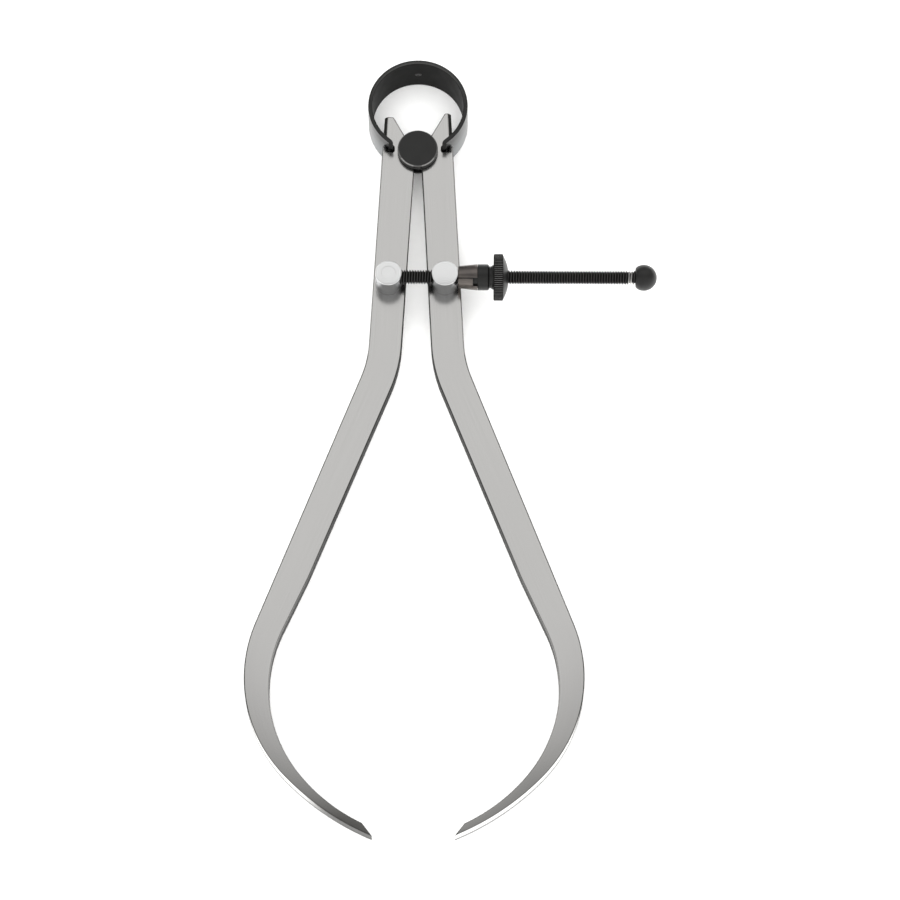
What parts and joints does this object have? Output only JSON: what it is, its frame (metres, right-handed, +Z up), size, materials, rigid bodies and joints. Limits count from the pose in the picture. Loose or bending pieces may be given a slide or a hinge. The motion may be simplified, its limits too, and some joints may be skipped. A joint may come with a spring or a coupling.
{
  "type": "outside spring caliper",
  "caption": "Outside spring caliper with bowed flat legs on a grooved roller, a bow spring, and an adjusting screw with a knurled nut that sets the opening between the tips.",
  "frame": {"origin": "middle of the footprint of the tool as it lies on its back, on the surface under the bow spring's back edge", "axes": "+Y along the tool from the tips to the bow spring, +Z up out of the front of the legs, +X toward the ball on the screw"},
  "size_m": [0.1136, 0.2272, 0.0201],
  "materials": {
    "ground_steel": "satin ground",
    "turned_steel": "bright turned",
    "black_oxide": "black oxide, satin",
    "rolled_steel": "rolled and scuffed"
  },
  "bodies": {
    "fulcrum": {"fulcrum_roller": "black_oxide", "bow_spring": "black_oxide"},
    "left_leg": {"left_leg": "ground_steel"},
    "right_leg": {"right_leg": "ground_steel"},
    "left_post": {"left_post": "turned_steel", "lock_plug": "turned_steel", "adjusting_screw": "black_oxide", "ball_knob": "black_oxide"},
    "right_post": {"right_post": "turned_steel", "nut_ferrule": "rolled_steel"},
    "nut": {"adjusting_nut": "black_oxide"}
  },
  "joints": [
    {"name": "left_leg_swing", "type": "hinge", "parent": "fulcrum", "child": "left_leg", "pos_m": [-0.01054, 0.087, 0.007], "axis": [0, 0, -1], "range_deg": [-3.06, 27], "deforming": ["bow_spring"]},
    {"name": "right_leg_swing", "type": "hinge", "parent": "fulcrum", "child": "right_leg", "pos_m": [-0.01054, 0.087, 0.007], "axis": [0, 0, 1], "range_deg": [-3.06, 27], "deforming": ["bow_spring"]},
    {"name": "left_post_swivel", "type": "hinge", "parent": "left_leg", "child": "left_post", "pos_m": [-0.01845, 0.04662, 0.0135], "axis": [0, 0, 1], "range_deg": [-3.06, 27]},
    {"name": "right_post_swivel", "type": "hinge", "parent": "right_leg", "child": "right_post", "pos_m": [-0.00263, 0.04662, 0.0135], "axis": [0, 0, -1], "range_deg": [-3.06, 27]},
    {"name": "nut_turn", "type": "hinge", "parent": "right_post", "child": "nut", "pos_m": [0.01117, 0.04662, 0.0135], "axis": [1, 0, 0], "range_deg": [-1912, 16875]}
  ],
  "couplings": [
    {"joint": "left_leg_swing", "follows": "nut_turn", "ratio": 0.0016},
    {"joint": "right_leg_swing", "follows": "nut_turn", "ratio": 0.0016},
    {"joint": "left_post_swivel", "follows": "nut_turn", "ratio": 0.0016},
    {"joint": "right_post_swivel", "follows": "nut_turn", "ratio": 0.0016}
  ]
}
